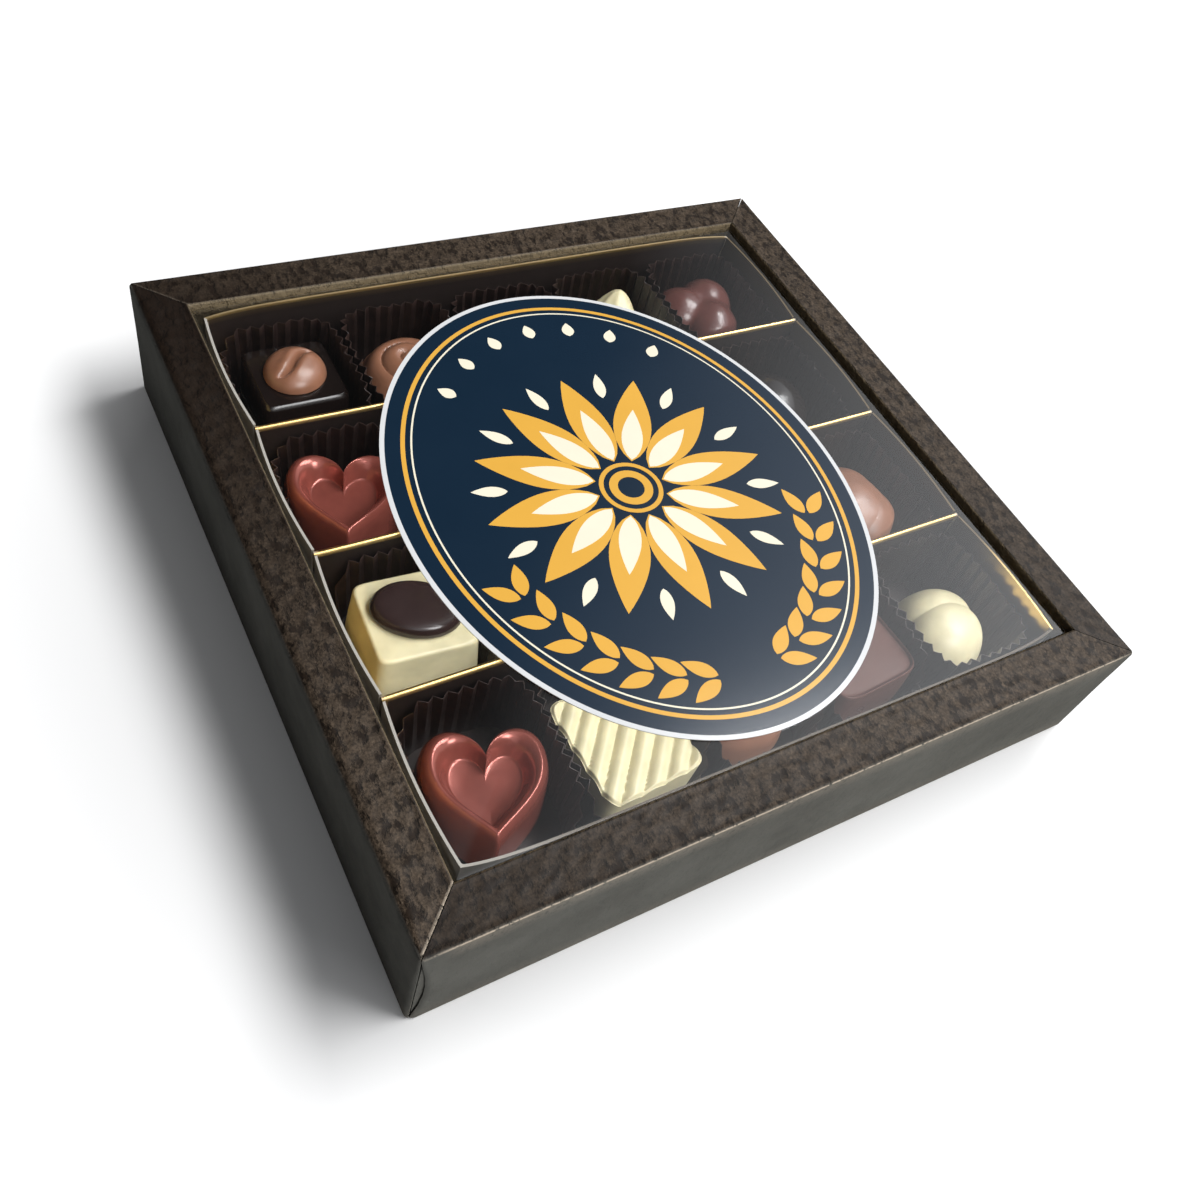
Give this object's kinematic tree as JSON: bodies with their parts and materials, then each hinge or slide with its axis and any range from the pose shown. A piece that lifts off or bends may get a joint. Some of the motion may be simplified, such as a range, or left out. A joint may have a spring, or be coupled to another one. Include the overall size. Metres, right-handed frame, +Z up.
{
  "type": "praline gift box",
  "caption": "Square window box of pralines: frame tray with hollow walls, gold insert with row dividers, pleated cups, and a clear lift-off lid with an oval label.",
  "frame": {"origin": "centre of the underside of the frame tray, on the surface that the box stands on", "axes": "+Z is up, the rows of pralines run along X, and -Y is the front"},
  "size_m": [0.1902, 0.1876, 0.0351],
  "materials": {
    "board": "embossed dark brown board with a faint bronze sheen",
    "gold_card": "gold foil on white card",
    "clear_film": "clear folded plastic sheet",
    "label_paper": "satin printed label",
    "cup_paper": "dark brown glassine",
    "dark_chocolate": "satin dark chocolate",
    "milk_chocolate": "satin milk chocolate",
    "ruby_chocolate": "milk chocolate with a ruby shimmer",
    "ivory_chocolate": "satin white chocolate"
  },
  "bodies": {
    "tray": {"frame_tray": "board"},
    "insert": {"gold_insert": "gold_card", "row_divider_1": "gold_card", "row_divider_2": "gold_card", "row_divider_3": "gold_card", "cup_r1c1": "cup_paper", "coffee_square_r1c1": "dark_chocolate", "coffee_bean_r1c1": "milk_chocolate", "cup_r1c2": "cup_paper", "milk_rosette_r1c2": "milk_chocolate", "cup_r1c3": "cup_paper", "milk_pillow_r1c3": "milk_chocolate", "cup_r1c4": "cup_paper", "ivory_kiss_r1c4": "ivory_chocolate", "cup_r1c5": "cup_paper", "dark_cluster_r1c5": "dark_chocolate", "cup_r2c1": "cup_paper", "ruby_heart_r2c1": "ruby_chocolate", "cup_r2c2": "cup_paper", "ivory_almond_r2c2": "ivory_chocolate", "cup_r2c3": "cup_paper", "coffee_square_r2c3": "dark_chocolate", "coffee_bean_r2c3": "milk_chocolate", "cup_r2c4": "cup_paper", "nut_dome_r2c4": "milk_chocolate", "cup_r2c5": "cup_paper", "dark_truffle_r2c5": "dark_chocolate", "cup_r3c1": "cup_paper", "oval_block_r3c1": "ivory_chocolate", "oval_cap_r3c1": "dark_chocolate", "cup_r3c2": "cup_paper", "dark_truffle_r3c2": "dark_chocolate", "cup_r3c3": "cup_paper", "dark_cluster_r3c3": "dark_chocolate", "cup_r3c4": "cup_paper", "milk_rosette_r3c4": "milk_chocolate", "cup_r3c5": "cup_paper", "milk_cluster_r3c5": "milk_chocolate", "cup_r4c1": "cup_paper", "ruby_heart_r4c1": "ruby_chocolate", "cup_r4c2": "cup_paper", "ribbed_bar_r4c2": "ivory_chocolate", "cup_r4c3": "cup_paper", "nut_dome_r4c3": "milk_chocolate", "cup_r4c4": "cup_paper", "milk_pillow_r4c4": "milk_chocolate", "cup_r4c5": "cup_paper", "ivory_almond_r4c5": "ivory_chocolate"},
    "lid": {"clear_lid": "clear_film", "lid_label": "label_paper"}
  },
  "joints": [
    {"name": "insert_lift", "type": "slide", "parent": "tray", "child": "insert", "axis": [0, 0, 1], "range_m": [0, 0.05]},
    {"name": "lid_lift", "type": "slide", "parent": "insert", "child": "lid", "axis": [0, 0, 1], "range_m": [0, 0.06]}
  ]
}
